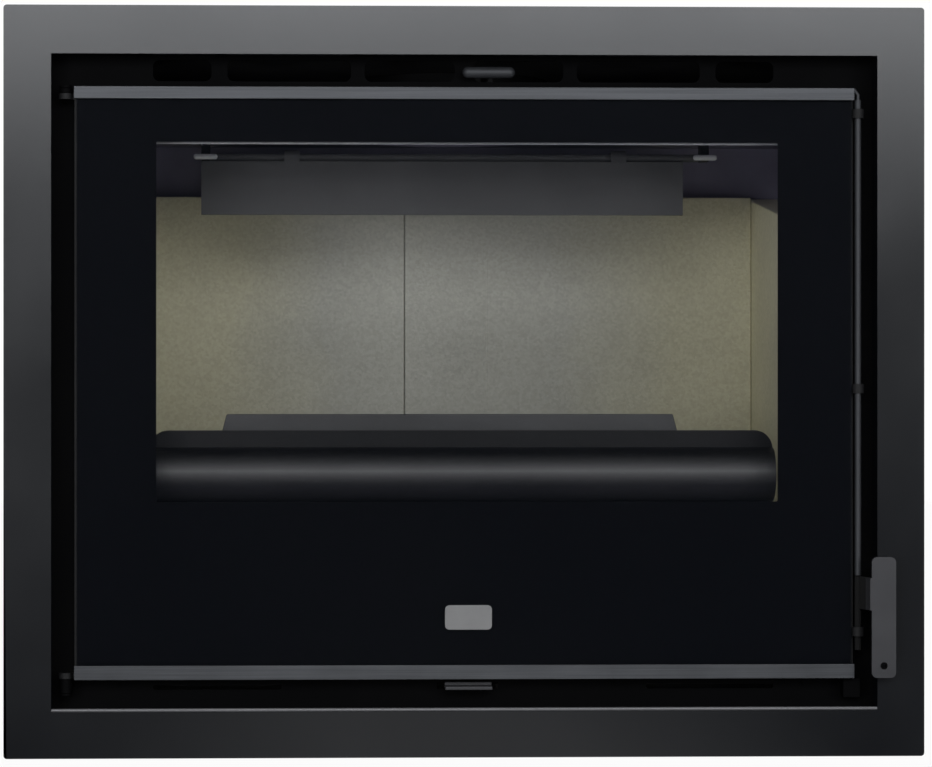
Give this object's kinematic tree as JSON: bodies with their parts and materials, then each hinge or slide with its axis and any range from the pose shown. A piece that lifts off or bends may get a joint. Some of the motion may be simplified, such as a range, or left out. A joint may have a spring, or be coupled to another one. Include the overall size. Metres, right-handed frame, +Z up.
{
  "type": "fireplace insert",
  "caption": "Built-in wood-burning insert: lined steel firebox in a convection casing, flat surround, glazed side-hinged door, upright grip and top flue collar.",
  "frame": {"origin": "middle of the footprint at the height of the skids' undersides and the surround's lower edge", "axes": "+Z up, +X to the right seen from the room, +Y into the wall, so the glass door faces -Y"},
  "size_m": [0.8, 0.448, 0.652],
  "materials": {
    "satin_steel": "satin grey",
    "dark_paint": "satin anthracite stove paint",
    "black_steel": "matt black stove paint",
    "cast_iron": "smooth dark cast iron",
    "vermiculite": "pressed vermiculite board, matt",
    "ceramic_glass": "clear ceramic glass with a black printed border",
    "glass_rope": "knitted glass-fibre rope",
    "galvanised": "galvanised sheet",
    "bright_steel": "bright zinc-plated steel"
  },
  "bodies": {
    "insert": {"surround_frame": "dark_paint", "casing_shell": "galvanised", "skid_left": "black_steel", "skid_right": "black_steel", "front_plate": "black_steel", "firebox": "black_steel", "flue_collar": "dark_paint", "back_brick_left": "vermiculite", "back_brick_centre": "vermiculite", "back_brick_right": "vermiculite", "side_brick_left": "vermiculite", "side_brick_right": "vermiculite", "hearth_tray": "black_steel", "floor_brick_left": "vermiculite", "floor_brick_right": "vermiculite", "floor_brick_front": "vermiculite", "floor_brick_back": "vermiculite", "grate": "cast_iron", "ash_pan": "galvanised", "log_retainer": "cast_iron", "inner_fence": "cast_iron", "smoke_baffle": "dark_paint", "baffle_bar": "bright_steel", "bar_hanger_left": "bright_steel", "bar_hanger_right": "bright_steel", "airwash_strip": "bright_steel", "hinge_bracket_upper": "black_steel", "hinge_bracket_lower": "black_steel", "hinge_pin_upper": "bright_steel", "hinge_pin_lower": "bright_steel", "keeper_upper": "bright_steel", "keeper_lower": "bright_steel", "door_rest": "galvanised"},
    "door": {"door_frame": "black_steel", "door_glass": "ceramic_glass", "glass_tape": "glass_rope", "top_rail": "satin_steel", "bottom_rail": "satin_steel", "door_seal": "glass_rope", "badge_plate": "bright_steel"},
    "latch": {"latch_rod": "satin_steel", "door_grip": "satin_steel"},
    "top_air": {"top_air_knob": "bright_steel", "top_air_rod": "bright_steel", "top_air_shutter": "galvanised"},
    "low_air": {"low_air_lever": "satin_steel", "low_air_shutter": "galvanised"}
  },
  "joints": [
    {"name": "door_hinge", "type": "hinge", "parent": "insert", "child": "door", "pos_m": [-0.347, -0.195, 0.325], "axis": [0, 0, -1], "range_deg": [0, 95]},
    {"name": "latch_turn", "type": "hinge", "parent": "door", "child": "latch", "pos_m": [0.3432, -0.198, 0.325], "axis": [0, 0, -1], "range_deg": [0, 60]},
    {"name": "top_air_pull", "type": "slide", "parent": "insert", "child": "top_air", "axis": [0, -1, 0], "range_m": [0, 0.028]},
    {"name": "low_air_slide", "type": "slide", "parent": "insert", "child": "low_air", "axis": [1, 0, 0], "range_m": [-0.02, 0.02]}
  ]
}
